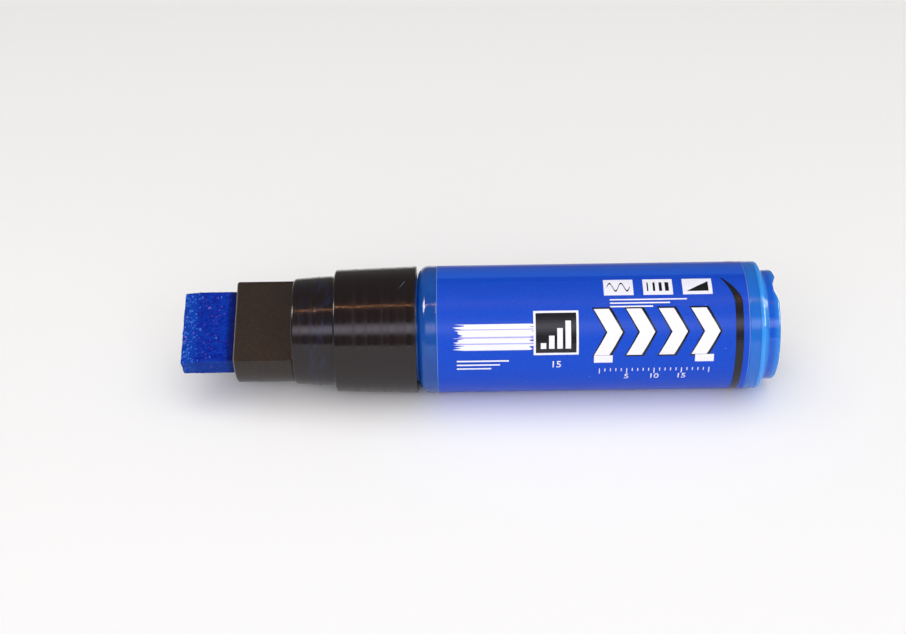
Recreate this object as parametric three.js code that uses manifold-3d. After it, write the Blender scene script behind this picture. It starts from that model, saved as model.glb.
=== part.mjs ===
// A broad acrylic paint marker, lying on its side with its nib towards -X.
//
// Units are millimetres, +Z is up. The origin is on the table, below the middle of the marker.
// A station is a distance along the marker's own axis, counted from the writing edge of the nib.
// Every piece is modelled with its axis on +Y, and one group at the end lays the marker down.

import * as THREE from 'three';
import { mergeVertices } from 'three/addons/utils/BufferGeometryUtils.js';
import Module from 'manifold-3d';

const wasm = await Module();
wasm.setup();

// Nib: a block of pressed felt that slides in the holder and can be pulled out and turned.
const NIB_WIDTH = 15;
const NIB_THICKNESS = 5;
const NIB_REACH = 10.2;
const NIB_BEVEL_LENGTH = 2.4;
const NIB_BEVEL_DEPTH = 0.5;
const NIB_SOFT_EDGE = 0.25;
const NIB_TAIL = 1;
const NIB_ROLL_DEG = 57;

// Nib holder: a round plug with two flats, a socket for the nib and grooves that let air past it.
const HOLDER_LENGTH = 10.9;
const HOLDER_FLAT_WALL = 1.65;
const HOLDER_EDGE = 0.3;
const HOLDER_STEP = 0.6;
const SPIGOT_LENGTH = 6.4;
const SPIGOT_WALL = 0.75;
const SPIGOT_CHAMFER = 0.4;
const SOCKET_CLEARANCE = 0.15;
const VENT_WIDTH = 1.2;
const VENT_DEPTH = 0.6;
const VENT_PITCH = 4;
const VENTS_PER_SIDE = 3;

// Front collar: the neck that the cap seats on, and the threaded grip behind it.
const NECK_LENGTH = 7.8;
const NECK_WALL = 1;
const NECK_DRAFT = 0.4;
const NECK_EDGE = 0.5;
const SNAP_BEAD_STATION = 4.6;
const SNAP_BEAD_HEIGHT = 0.14;
const SNAP_BEAD_WIDTH = 0.5;
const UNDERCUT_WIDTH = 0.8;
const UNDERCUT_DEPTH = 0.4;
const CAP_CLEARANCE = 0.1;
const CAP_SEAT_RELIEF = 0.2;
const COLLAR_LENGTH = 15.2;
const COLLAR_STEP = 1.13;
const COLLAR_DRAFT = 0.45;
const COLLAR_EDGE = 0.35;
const SKIRT_WALL = 1.2;
const SKIRT_MOUTH_CHAMFER = 0.4;

// Clearances that every fit uses.
const FIT_CLEARANCE = 0.1;
const SEAT_GAP = 0.3;

// Valve: pressing the nib moves the stem back, lifts the seal off its lip and lets paint through.
const VALVE_STROKE = 2.5;
const STROKE_SPARE = 0.5;
const VALVE_FLANGE_THICKNESS = 1.2;
const VALVE_CUP_RADIUS = 6.6;
const VALVE_CUP_WALL = 1;
const VALVE_PORT_RADIUS = 2.6;
const SEAT_LIP_HEIGHT = 0.6;
const SEAT_LIP_WIDTH = 0.7;
const WINDOW_COUNT = 4;
const WINDOW_WIDTH = 3.2;
const WINDOW_LENGTH = 4.6;
const WINDOW_END_WALL = 1.6;
const STEM_RIB_RADIUS = 2.2;
const STEM_RIB_THICKNESS = 0.9;
const STEM_FLANGE_RADIUS = 4;
const STEM_FLANGE_THICKNESS = 1;
const STEM_PIN_RADIUS = 1.5;
const STEM_PIN_END = 0.6;
const STEM_PIN_CHAMFER = 0.4;
const SEAL_THICKNESS = 0.8;
const SEAL_EDGE = 0.2;
const SPRING_LENGTH = 8.4;
const SPRING_MEAN_RADIUS = 2.8;
const SPRING_WIRE_RADIUS = 0.35;
const SPRING_TURNS = 4.5;
const CAGE_THICKNESS = 1.2;
const CAGE_RIM_LENGTH = 1.3;
const CAGE_RIM_WALL = 0.6;
const CAGE_HOLE_RADIUS = 0.65;
const CAGE_HOLE_COUNT = 8;
const CAGE_HOLE_FACETS = 8;

// Neck gasket: a flat rubber ring between the barrel's rim and the valve flange.
const GASKET_THICKNESS = 0.8;
const GASKET_WIDTH = 1.1;
const GASKET_EDGE = 0.15;

// Barrel: an open tube with a threaded neck. The label lies in a shallow bed between its shoulders.
const THREAD_ROOM = 0.5;
const BARREL_NECK_WALL = 1.35;
const BARREL_NECK_CHAMFER = 0.4;
const BARREL_PROUD = 0.08;
const BARREL_LENGTH = 62.4;
const BARREL_WALL = 1.15;
const SHOULDER_ROUND = 2;
const SHOULDER_SHY = 0.03;
const SHOULDER_THICKNESS = 2.5;
const BORE_RUN_OUT = 2;

// Label sleeve: a printed film with its end lapped over its start.
const LABEL_THICKNESS = 0.11;
const LABEL_CLEARANCE = 0.04;
const LABEL_END_GAP = 0.1;
const LABEL_FRONT_INSET = 3.5;
const LABEL_REAR_INSET = 2;
const LABEL_LAP_DEG = 14;
const LABEL_LAP_AT_DEG = 76;

// End plug: closes the barrel, and its castellated ring is what the marker stands on.
const PLUG_GAP = 0.15;
const PLUG_FLANGE_LENGTH = 0.3;
const PLUG_ROUND = 0.5;
const PLUG_TAPER_LENGTH = 1.2;
const PLUG_TAPER_DEG = 60;
const PLUG_SPIGOT_LENGTH = 7.3;
const PLUG_SPIGOT_WALL = 1;
const PLUG_FLOOR = 1.6;
const RING_INSET = 1.68;
const RING_HEIGHT = 2.25;
const RING_WALL = 1.7;
const RING_EDGE = 0.4;
const NOTCH_COUNT = 2;
const NOTCH_WIDTH = 1.8;
const NOTCH_DEPTH = 0.85;
const NOTCH_RAMP = 2.4;
const NOTCH_AT_DEG = 70.5;

// Mixing balls: two steel balls that stir the paint when the marker is shaken.
const BALL_RADIUS = 3;
const BALL_FRONT_STATION = 57.5;
const BALL_SPACING = 9;

// Facets. The count divides by four, so a flat of the round pieces lies on the table.
const ROUND_FACETS = 64;
const VALVE_FACETS = 40;
const ARC_STEPS = 4;
const SPRING_STEPS_PER_TURN = 16;
const SPRING_SIDES = 6;
const BALL_FACETS = 20;

// Sizes that follow from those above: across the marker.
const facetApothem = Math.cos(Math.PI / ROUND_FACETS);
const socketHalfWidth = NIB_WIDTH / 2 + SOCKET_CLEARANCE;
const socketHalfThickness = NIB_THICKNESS / 2 + SOCKET_CLEARANCE;
const spigotRadius = Math.hypot(socketHalfWidth, socketHalfThickness) + SPIGOT_WALL;
const holderRadius = spigotRadius + HOLDER_STEP;
const holderFlat = socketHalfThickness + HOLDER_FLAT_WALL;
const neckBore = spigotRadius + FIT_CLEARANCE;
const neckFrontRadius = neckBore + NECK_WALL;
const neckRearRadius = neckFrontRadius + NECK_DRAFT;
const collarFrontRadius = neckRearRadius + COLLAR_STEP;
const collarRearRadius = collarFrontRadius + COLLAR_DRAFT;
const skirtBore = collarFrontRadius - SKIRT_WALL;
const barrelNeckRadius = skirtBore - THREAD_ROOM;
const barrelNeckBore = barrelNeckRadius - BARREL_NECK_WALL;
const labelRadius = collarRearRadius + BARREL_PROUD;
const labelBore = labelRadius - LABEL_THICKNESS;
const labelBedRadius = labelBore - LABEL_CLEARANCE;
const shoulderRadius = labelRadius - SHOULDER_SHY;
const barrelBore = labelBedRadius - BARREL_WALL;
const plugSpigotRadius = barrelBore - FIT_CLEARANCE;
const ringRadius = shoulderRadius - RING_INSET;
const valveBore = VALVE_CUP_RADIUS - VALVE_CUP_WALL;
const stemPinBore = STEM_PIN_RADIUS + FIT_CLEARANCE;
const cageRimRadius = valveBore - FIT_CLEARANCE;
const axisHeight = labelRadius * facetApothem;

// Stations along the marker, from the nib to the end ring.
const holderFront = NIB_REACH;
const neckFront = holderFront + HOLDER_LENGTH;
const spigotRear = neckFront + SPIGOT_LENGTH;
const nibRear = spigotRear + NIB_TAIL;
const capStop = neckFront + NECK_LENGTH;
const collarRear = capStop + COLLAR_LENGTH;
const collarSeat = nibRear + VALVE_STROKE + STROKE_SPARE;
const valveFlangeFront = collarSeat + SEAT_GAP;
const valveFlangeRear = valveFlangeFront + VALVE_FLANGE_THICKNESS;
const seatLip = valveFlangeRear + SEAT_LIP_HEIGHT;
const sealFront = seatLip + SEAT_GAP;
const sealRear = sealFront + SEAL_THICKNESS;
const stemFlangeFront = sealRear + SEAT_GAP;
const stemFlangeRear = stemFlangeFront + STEM_FLANGE_THICKNESS;
const springFront = stemFlangeRear + SEAT_GAP;
const springRear = springFront + SPRING_LENGTH;
const cageFront = springRear + SEAT_GAP;
const cageRear = cageFront + CAGE_THICKNESS;
const valveCupRear = cageFront - SEAT_GAP;
const gasketFront = valveFlangeRear + SEAT_GAP;
const gasketRear = gasketFront + GASKET_THICKNESS;
const barrelRim = gasketRear + SEAT_GAP;
const barrelShoulder = collarRear + SEAT_GAP;
const barrelRear = barrelShoulder + BARREL_LENGTH;
const labelFront = barrelShoulder + LABEL_FRONT_INSET;
const labelRear = barrelRear - LABEL_REAR_INSET;
const plugFlangeFront = barrelRear + PLUG_GAP;
const plugFlangeRear = plugFlangeFront + PLUG_FLANGE_LENGTH;
const ringFoot = plugFlangeRear + PLUG_TAPER_LENGTH;
const ringRear = ringFoot + RING_HEIGHT;
const plugFloorRear = ringFoot;
const plugFloorFront = plugFloorRear - PLUG_FLOOR;

// Profile helpers: a profile is a list of [radius, station] points, outside first towards the
// rear, then back along the inside.
function arc(centreRadius, centreStation, radius, fromDeg, toDeg) {
  const points = [];
  for (let step = 0; step <= ARC_STEPS; step += 1) {
    const angle = THREE.MathUtils.degToRad(fromDeg + ((toDeg - fromDeg) * step) / ARC_STEPS);
    points.push([centreRadius + radius * Math.cos(angle), centreStation + radius * Math.sin(angle)]);
  }
  return points;
}

function turned(profile, facets = ROUND_FACETS) {
  const points = profile.map(([radius, station]) => new THREE.Vector2(radius, station));
  return new THREE.LatheGeometry(points, facets, Math.PI / facets);
}

function turnedRing(profile, facets = ROUND_FACETS) {
  return turned([...profile, profile[0]], facets);
}

// Booleans: three.js geometry to a manifold solid, and back.
function solidOf(geometry) {
  const bare = geometry.clone();
  bare.deleteAttribute('normal');
  bare.deleteAttribute('uv');
  const merged = mergeVertices(bare, 1e-5);
  const index = merged.index.array;
  const triangles = [];
  for (let corner = 0; corner < index.length; corner += 3) {
    const [a, b, c] = index.slice(corner, corner + 3);
    if (a !== b && b !== c && c !== a) {
      triangles.push(a, b, c);
    }
  }
  return new wasm.Manifold(new wasm.Mesh({
    numProp: 3,
    vertProperties: new Float32Array(merged.attributes.position.array),
    triVerts: new Uint32Array(triangles),
  }));
}

function geometryOf(solid) {
  const mesh = solid.getMesh();
  const geometry = new THREE.BufferGeometry();
  geometry.setAttribute('position', new THREE.BufferAttribute(new Float32Array(mesh.vertProperties), 3));
  geometry.setIndex(new THREE.BufferAttribute(new Uint32Array(mesh.triVerts), 1));
  geometry.computeVertexNormals();
  return geometry;
}

function cut(geometry, cutters) {
  return geometryOf(cutters.reduce((solid, cutter) => solid.subtract(solidOf(cutter)), solidOf(geometry)));
}

function block(sizeX, sizeY, sizeZ, x, y, z) {
  return new THREE.BoxGeometry(sizeX, sizeY, sizeZ).translate(x, y, z);
}

// Nib. X is the thickness, Z the width. The bevel is on the +X face at the writing edge.
function nib() {
  const half = NIB_THICKNESS / 2;
  const side = new THREE.Shape();
  side.moveTo(-half, 0);
  side.lineTo(half - NIB_BEVEL_DEPTH, 0);
  side.lineTo(half, NIB_BEVEL_LENGTH);
  side.lineTo(half, nibRear);
  side.lineTo(-half, nibRear);
  side.closePath();
  return new THREE.ExtrudeGeometry(side, {
    depth: NIB_WIDTH - 2 * NIB_SOFT_EDGE,
    bevelEnabled: true,
    bevelSize: NIB_SOFT_EDGE,
    bevelOffset: -NIB_SOFT_EDGE,
    bevelThickness: NIB_SOFT_EDGE,
    bevelSegments: 1,
  }).translate(0, 0, NIB_SOFT_EDGE - NIB_WIDTH / 2);
}

// Nib holder. Its flats are parallel to the nib's broad faces.
function nibHolder() {
  const body = turned([
    [0, holderFront],
    [holderRadius - HOLDER_EDGE, holderFront],
    [holderRadius, holderFront + HOLDER_EDGE],
    [holderRadius, neckFront - SEAT_GAP],
    [spigotRadius, neckFront - SEAT_GAP],
    [spigotRadius, spigotRear - SPIGOT_CHAMFER],
    [spigotRadius - SPIGOT_CHAMFER, spigotRear],
    [0, spigotRear],
  ]);
  const length = spigotRear - holderFront;
  const middle = (spigotRear + holderFront) / 2;
  const through = 2 * length;
  const cutters = [block(2 * socketHalfThickness, through, 2 * socketHalfWidth, 0, middle, 0)];
  const flatLength = neckFront - holderFront;
  for (const side of [-1, 1]) {
    const x = side * (holderFlat + holderRadius);
    const y = neckFront - SEAT_GAP - flatLength;
    cutters.push(block(2 * holderRadius, 2 * flatLength, 4 * holderRadius, x, y, 0));
    for (let vent = 0; vent < VENTS_PER_SIDE; vent += 1) {
      const z = (vent - (VENTS_PER_SIDE - 1) / 2) * VENT_PITCH;
      cutters.push(block(2 * VENT_DEPTH, through, VENT_WIDTH, side * socketHalfThickness, middle, z));
    }
  }
  return cut(body, cutters);
}

// Front collar: from the neck's rounded edge over the snap bead and the cap stop to the skirt. The
// cap stop is relieved next to the neck, so the cap's rim lands on its flat face.
function frontCollar() {
  const neckRadiusAt = (station) => (
    neckFrontRadius + (NECK_DRAFT * (station - neckFront)) / (NECK_LENGTH - UNDERCUT_WIDTH)
  );
  const bead = neckFront + SNAP_BEAD_STATION;
  const undercut = capStop - UNDERCUT_WIDTH;
  const undercutRadius = neckRearRadius - UNDERCUT_DEPTH;
  return turnedRing([
    [neckBore, neckFront],
    ...arc(neckFrontRadius - NECK_EDGE, neckFront + NECK_EDGE, NECK_EDGE, -90, 0),
    [neckRadiusAt(bead - SNAP_BEAD_WIDTH / 2), bead - SNAP_BEAD_WIDTH / 2],
    [neckRadiusAt(bead) + SNAP_BEAD_HEIGHT, bead],
    [neckRadiusAt(bead + SNAP_BEAD_WIDTH / 2), bead + SNAP_BEAD_WIDTH / 2],
    [neckRearRadius, undercut],
    [undercutRadius, undercut + UNDERCUT_DEPTH / 2],
    [undercutRadius, capStop + CAP_SEAT_RELIEF],
    [neckRearRadius + CAP_CLEARANCE, capStop + CAP_SEAT_RELIEF],
    [neckRearRadius + CAP_CLEARANCE, capStop],
    ...arc(collarFrontRadius - COLLAR_EDGE, capStop + COLLAR_EDGE, COLLAR_EDGE, -90, 0),
    [collarRearRadius, collarRear],
    [skirtBore + SKIRT_MOUTH_CHAMFER, collarRear],
    [skirtBore, collarRear - SKIRT_MOUTH_CHAMFER],
    [skirtBore, collarSeat],
    [neckBore, collarSeat],
  ]);
}

// Valve body: a flanged cup with a port and a raised sealing lip in its front wall, and windows
// that let the paint in from the barrel.
function valveBody() {
  const cup = turnedRing([
    [VALVE_PORT_RADIUS, valveFlangeFront],
    [skirtBore - FIT_CLEARANCE, valveFlangeFront],
    [skirtBore - FIT_CLEARANCE, valveFlangeRear],
    [VALVE_CUP_RADIUS, valveFlangeRear],
    [VALVE_CUP_RADIUS, valveCupRear],
    [valveBore, valveCupRear],
    [valveBore, valveFlangeRear],
    [VALVE_PORT_RADIUS + SEAT_LIP_WIDTH, valveFlangeRear],
    [VALVE_PORT_RADIUS + SEAT_LIP_WIDTH / 2, seatLip],
    [VALVE_PORT_RADIUS, seatLip],
  ], VALVE_FACETS);
  const windowRear = valveCupRear - CAGE_RIM_LENGTH - WINDOW_END_WALL;
  const windows = [];
  const windowMiddle = windowRear - WINDOW_LENGTH / 2;
  for (let i = 0; i < WINDOW_COUNT / 2; i += 1) {
    windows.push(block(4 * VALVE_CUP_RADIUS, WINDOW_LENGTH, WINDOW_WIDTH, 0, windowMiddle, 0)
      .rotateY((2 * Math.PI * i) / WINDOW_COUNT));
  }
  return cut(cup, windows);
}

// Valve stem: a ribbed front rod through the port, a flange that carries the seal, and a pin
// that guides the spring.
function valveStem() {
  const rear = turned([
    [0, stemFlangeFront],
    [STEM_FLANGE_RADIUS, stemFlangeFront],
    [STEM_FLANGE_RADIUS, stemFlangeRear],
    [STEM_PIN_RADIUS, stemFlangeRear],
    [STEM_PIN_RADIUS, cageRear + STEM_PIN_END - STEM_PIN_CHAMFER],
    [STEM_PIN_RADIUS - STEM_PIN_CHAMFER, cageRear + STEM_PIN_END],
    [0, cageRear + STEM_PIN_END],
  ], VALVE_FACETS);
  const rodFront = nibRear + SEAT_GAP;
  const rodLength = stemFlangeRear - rodFront;
  const rodMiddle = (stemFlangeRear + rodFront) / 2;
  const ribA = block(2 * STEM_RIB_RADIUS, rodLength, STEM_RIB_THICKNESS, 0, rodMiddle, 0);
  const ribB = block(STEM_RIB_THICKNESS, rodLength, 2 * STEM_RIB_RADIUS, 0, rodMiddle, 0);
  return geometryOf(solidOf(rear).add(solidOf(ribA)).add(solidOf(ribB)));
}

function stemSeal() {
  const outer = STEM_FLANGE_RADIUS - FIT_CLEARANCE;
  const inner = Math.hypot(STEM_RIB_RADIUS, STEM_RIB_THICKNESS / 2) + FIT_CLEARANCE;
  return turnedRing([
    [inner, sealFront],
    [outer - SEAL_EDGE, sealFront],
    [outer, sealFront + SEAL_EDGE],
    [outer, sealRear - SEAL_EDGE],
    [outer - SEAL_EDGE, sealRear],
    [inner, sealRear],
  ], VALVE_FACETS);
}

// Valve spring: one round wire on a helix.
class Helix extends THREE.Curve {
  getPoint(t, target = new THREE.Vector3()) {
    const angle = 2 * Math.PI * SPRING_TURNS * t;
    const start = springFront + SPRING_WIRE_RADIUS;
    const rise = SPRING_LENGTH - 2 * SPRING_WIRE_RADIUS;
    return target.set(
      SPRING_MEAN_RADIUS * Math.cos(angle),
      start + rise * t,
      SPRING_MEAN_RADIUS * Math.sin(angle),
    );
  }
}

function valveSpring() {
  const section = new THREE.Shape();
  section.absarc(0, 0, SPRING_WIRE_RADIUS, 0, 2 * Math.PI);
  return new THREE.ExtrudeGeometry(section, {
    steps: SPRING_TURNS * SPRING_STEPS_PER_TURN,
    curveSegments: SPRING_SIDES / 2,
    extrudePath: new Helix(),
    bevelEnabled: false,
  });
}

// The least gap between one turn of the spring's wire and another, measured on points.
function springGap() {
  const points = new Helix().getPoints(SPRING_TURNS * SPRING_STEPS_PER_TURN);
  let least = Infinity;
  points.forEach((point, i) => {
    for (const other of points.slice(i + SPRING_STEPS_PER_TURN / 2)) {
      least = Math.min(least, point.distanceTo(other) - 2 * SPRING_WIRE_RADIUS);
    }
  });
  return least;
}

// Spring cage: a perforated disc that snaps into the rear of the valve body.
function springCage() {
  const holeCircle = (stemPinBore + cageRimRadius - CAGE_RIM_WALL + SPRING_MEAN_RADIUS) / 3;
  const disc = turnedRing([
    [stemPinBore, cageFront],
    [cageRimRadius - CAGE_RIM_WALL, cageFront],
    [cageRimRadius - CAGE_RIM_WALL, valveCupRear - CAGE_RIM_LENGTH],
    [cageRimRadius, valveCupRear - CAGE_RIM_LENGTH],
    [cageRimRadius, cageFront],
    [VALVE_CUP_RADIUS, cageFront],
    [VALVE_CUP_RADIUS, cageRear],
    [stemPinBore, cageRear],
  ], VALVE_FACETS);
  const holes = [];
  for (let i = 0; i < CAGE_HOLE_COUNT; i += 1) {
    holes.push(new THREE.CylinderGeometry(
      CAGE_HOLE_RADIUS,
      CAGE_HOLE_RADIUS,
      4 * CAGE_THICKNESS,
      CAGE_HOLE_FACETS,
    )
      .translate(holeCircle, cageFront, 0)
      .rotateY((2 * Math.PI * i) / CAGE_HOLE_COUNT));
  }
  return cut(disc, holes);
}

function neckGasket() {
  const outer = barrelNeckRadius;
  const inner = outer - GASKET_WIDTH;
  return turnedRing([
    [inner, gasketFront],
    [outer - GASKET_EDGE, gasketFront],
    [outer, gasketFront + GASKET_EDGE],
    [outer, gasketRear - GASKET_EDGE],
    [outer - GASKET_EDGE, gasketRear],
    [inner, gasketRear],
  ]);
}

// Barrel: the neck inside the collar, the rounded shoulder, the bed of the label, and the bore.
function barrel() {
  const boreStart = barrelShoulder + SHOULDER_THICKNESS;
  return turnedRing([
    [barrelNeckBore, barrelRim],
    [barrelNeckRadius - BARREL_NECK_CHAMFER, barrelRim],
    [barrelNeckRadius, barrelRim + BARREL_NECK_CHAMFER],
    [barrelNeckRadius, barrelShoulder],
    ...arc(shoulderRadius - SHOULDER_ROUND, barrelShoulder + SHOULDER_ROUND, SHOULDER_ROUND, -90, 0),
    [shoulderRadius, labelFront - LABEL_END_GAP],
    [labelBedRadius, labelFront - LABEL_END_GAP],
    [labelBedRadius, labelRear + LABEL_END_GAP],
    [shoulderRadius, labelRear + LABEL_END_GAP],
    [shoulderRadius, barrelRear],
    [barrelBore, barrelRear],
    [barrelBore, boreStart + BORE_RUN_OUT],
    [barrelNeckBore, boreStart],
  ]);
}

// Label sleeve: a ring section drawn once round, with the lapped end standing one film higher.
function labelSleeve() {
  const step = (2 * Math.PI) / ROUND_FACETS;
  const lapStart = THREE.MathUtils.degToRad(LABEL_LAP_AT_DEG);
  const lapEnd = lapStart + THREE.MathUtils.degToRad(LABEL_LAP_DEG);
  const corner = (radius, angle) => new THREE.Vector2(radius * Math.cos(angle), radius * Math.sin(angle));
  const outline = [];
  const inner = [];
  for (let i = 0; i < ROUND_FACETS; i += 1) {
    const angle = (i + 0.5) * step;
    const lapped = angle > lapStart && angle < lapEnd;
    outline.push(corner(lapped ? labelRadius + LABEL_THICKNESS : labelRadius, angle));
    inner.push(corner(labelBore, angle));
  }
  const section = new THREE.Shape(outline);
  section.holes.push(new THREE.Path(inner));
  return new THREE.ExtrudeGeometry(section, { depth: labelRear - labelFront, bevelEnabled: false })
    .rotateX(Math.PI / 2)
    .translate(0, labelRear, 0);
}

// A notch of the end ring is a trapezoid, with its floor across the ring and ramps at its sides.
function notchCutter() {
  const floor = NOTCH_WIDTH / 2;
  const mouth = floor + 2 * NOTCH_RAMP;
  const outline = new THREE.Shape();
  outline.moveTo(-floor, -NOTCH_DEPTH);
  outline.lineTo(floor, -NOTCH_DEPTH);
  outline.lineTo(mouth, NOTCH_DEPTH);
  outline.lineTo(-mouth, NOTCH_DEPTH);
  outline.closePath();
  return new THREE.ExtrudeGeometry(outline, { depth: 4 * RING_WALL, bevelEnabled: false })
    .rotateY(Math.PI / 2)
    .translate(ringRadius - 2 * RING_WALL, ringRear, 0);
}

// End plug: a spigot inside the barrel, a flange that tapers inwards, and a ring with notches.
function endPlug() {
  const body = turned([
    [0, plugFloorFront],
    [plugSpigotRadius - PLUG_SPIGOT_WALL, plugFloorFront],
    [plugSpigotRadius - PLUG_SPIGOT_WALL, plugFlangeFront - PLUG_SPIGOT_LENGTH],
    [plugSpigotRadius, plugFlangeFront - PLUG_SPIGOT_LENGTH],
    [plugSpigotRadius, plugFlangeFront],
    [shoulderRadius, plugFlangeFront],
    ...arc(shoulderRadius - PLUG_ROUND, plugFlangeRear, PLUG_ROUND, 0, PLUG_TAPER_DEG),
    [ringRadius, ringFoot],
    ...arc(ringRadius - RING_EDGE, ringRear - RING_EDGE, RING_EDGE, 0, 90),
    [ringRadius - RING_WALL, ringRear],
    [ringRadius - RING_WALL, plugFloorRear],
    [0, plugFloorRear],
  ]);
  const notches = [];
  for (let i = 0; i < NOTCH_COUNT; i += 1) {
    const angle = THREE.MathUtils.degToRad(NOTCH_AT_DEG) + (2 * Math.PI * i) / NOTCH_COUNT;
    notches.push(notchCutter().rotateY(-angle));
  }
  return cut(body, notches);
}

// A mixing ball lies on the low side of the bore.
function mixingBall(station) {
  const drop = barrelBore * facetApothem - FIT_CLEARANCE - BALL_RADIUS;
  return new THREE.SphereGeometry(BALL_RADIUS, BALL_FACETS, BALL_FACETS / 2).translate(0, station, -drop);
}

// Finishes.
const finishes = {
  felt: { color: 0x1236a8, roughness: 0.95, metalness: 0 },
  mattBlack: { color: 0x3a302c, roughness: 0.75, metalness: 0 },
  glossBlack: { color: 0x0c0a0b, roughness: 0.18, metalness: 0 },
  whitePlastic: { color: 0xe8e6e0, roughness: 0.5, metalness: 0 },
  rubber: { color: 0x1a1a1a, roughness: 0.85, metalness: 0 },
  steel: { color: 0xb8bcc0, roughness: 0.25, metalness: 1 },
  bluePlastic: { color: 0x2a66c8, roughness: 0.2, metalness: 0 },
  paleBluePlastic: { color: 0x3a84d8, roughness: 0.25, metalness: 0 },
  labelFilm: { color: 0x1e4cd0, roughness: 0.35, metalness: 0 },
};

function piece(name, geometry, finish) {
  const mesh = new THREE.Mesh(geometry, new THREE.MeshStandardMaterial(finishes[finish]));
  mesh.name = name;
  return mesh;
}

const rolled = new THREE.Group();
rolled.rotation.y = -THREE.MathUtils.degToRad(NIB_ROLL_DEG);
rolled.add(
  piece('nib', nib(), 'felt'),
  piece('nib_holder', nibHolder(), 'mattBlack'),
);

const marker = new THREE.Group();
marker.add(
  rolled,
  piece('front_collar', frontCollar(), 'glossBlack'),
  piece('valve_body', valveBody(), 'whitePlastic'),
  piece('valve_stem', valveStem(), 'whitePlastic'),
  piece('stem_seal', stemSeal(), 'rubber'),
  piece('valve_spring', valveSpring(), 'steel'),
  piece('spring_cage', springCage(), 'whitePlastic'),
  piece('neck_gasket', neckGasket(), 'rubber'),
  piece('barrel', barrel(), 'bluePlastic'),
  piece('label_sleeve', labelSleeve(), 'labelFilm'),
  piece('end_plug', endPlug(), 'paleBluePlastic'),
  piece('mixing_ball_front', mixingBall(BALL_FRONT_STATION), 'steel'),
  piece('mixing_ball_rear', mixingBall(BALL_FRONT_STATION + BALL_SPACING), 'steel'),
);

// Laid down: the marker's +Y axis turns to +X and its +X side to the viewer at -Y.
marker.rotation.z = -Math.PI / 2;
marker.position.set(-ringRear / 2, 0, axisHeight);

const paintMarker = new THREE.Group();
paintMarker.add(marker);

console.log(`least gap between turns of the valve spring: ${springGap().toFixed(2)} mm`);

export default paintMarker;
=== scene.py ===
# %% [markdown]
# # An acrylic paint marker, dressed for a close look
#
# The engineering model gives every piece its size and place. This lesson gives the pieces their
# surfaces: felt, moulded plastic, printed film. Each step says what the piece is on the real
# marker, and why it is made the way that follows.
#
# The engineering pieces are fixed: they get a finish or are replaced by a finer piece that stays
# inside them, and they are never moved.

# %% Load the engineering model
import math
import random

import bmesh
import bpy
from mathutils import Matrix, Vector


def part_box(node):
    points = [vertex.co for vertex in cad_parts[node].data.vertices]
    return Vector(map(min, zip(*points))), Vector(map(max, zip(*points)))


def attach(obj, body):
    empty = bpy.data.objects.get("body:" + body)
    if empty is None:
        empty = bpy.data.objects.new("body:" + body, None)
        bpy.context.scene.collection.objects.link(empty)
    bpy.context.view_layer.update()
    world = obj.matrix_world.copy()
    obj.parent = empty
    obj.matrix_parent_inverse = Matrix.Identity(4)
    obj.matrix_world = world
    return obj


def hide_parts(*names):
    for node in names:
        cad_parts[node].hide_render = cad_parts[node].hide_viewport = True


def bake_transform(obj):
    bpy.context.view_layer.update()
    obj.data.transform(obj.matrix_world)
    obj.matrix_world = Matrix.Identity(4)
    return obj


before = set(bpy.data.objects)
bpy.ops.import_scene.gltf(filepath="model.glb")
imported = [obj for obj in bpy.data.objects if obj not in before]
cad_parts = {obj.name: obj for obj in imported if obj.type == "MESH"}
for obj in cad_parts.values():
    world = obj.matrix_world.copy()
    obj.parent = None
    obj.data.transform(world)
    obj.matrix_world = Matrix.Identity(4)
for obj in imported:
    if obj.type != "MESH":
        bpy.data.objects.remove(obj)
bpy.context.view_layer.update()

MM = 0.001

# %% [markdown]
# ## Where things are
#
# Measures come from the boxes of the engineering pieces, and what no box can tell is named in the
# cell of its piece. A station is a distance along the marker, from the writing edge of the nib,
# and `x_at` turns it into a place on the X axis. The axis runs at the height of the label's
# middle.

# %% Stations and radii
TIP_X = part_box("nib")[0][0]


def x_at(station_mm):
    """The X of a place this many millimetres behind the nib's writing edge."""
    return TIP_X + station_mm * MM


def station_of(x):
    return (x - TIP_X) / MM


def ends_of(name):
    """The stations at which an engineering piece starts and ends."""
    return [station_of(Vector(corner).x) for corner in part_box(name)]


def radius_of(name):
    """The radius of a round engineering piece, in millimetres."""
    low, high = (Vector(corner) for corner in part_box(name))
    return (high.y - low.y) / 2 / MM


HOLDER_FRONT, SPIGOT_REAR = ends_of("nib_holder")
NECK_FRONT, COLLAR_REAR = ends_of("front_collar")
BARREL_RIM, BARREL_REAR = ends_of("barrel")
LABEL_FRONT, LABEL_REAR = ends_of("label_sleeve")
PLUG_SPIGOT_FRONT, RING_REAR = ends_of("end_plug")
COLLAR_REAR_RADIUS = radius_of("front_collar")
BARREL_RADIUS = radius_of("barrel")
AXIS_Z = radius_of("label_sleeve") * MM
print("collar from", round(NECK_FRONT, 2), "barrel radius", round(BARREL_RADIUS, 3))


def on_skin(x, radius_mm, turn):
    """A place on a round skin, this many radians above the viewer's horizon."""
    reach = radius_mm * MM
    return Vector((x, -reach * math.cos(turn), AXIS_Z + reach * math.sin(turn)))

# %% [markdown]
# ## The camera
#
# The photograph looks down on the lying marker from about 28 degrees, through a lens of about 63
# mm on a 36 mm wide frame, 30 cm away. Its optical axis misses the middle of the picture, so the
# lens is shifted by a few pixels.

# %% Camera
VIEW_AZIMUTH_DEG = 0.58
VIEW_ELEVATION_DEG = 28.0
VIEW_ROLL_DEG = 1.13
VIEW_DISTANCE = 298 * MM
VIEW_AIM = Vector((-5.2 * MM, 0, 16.25 * MM))
LENS_MM = 63.1
SENSOR_MM = 36
FRAME_WIDTH_PX = 906
SHIFT_PX = (4, -8)


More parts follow.
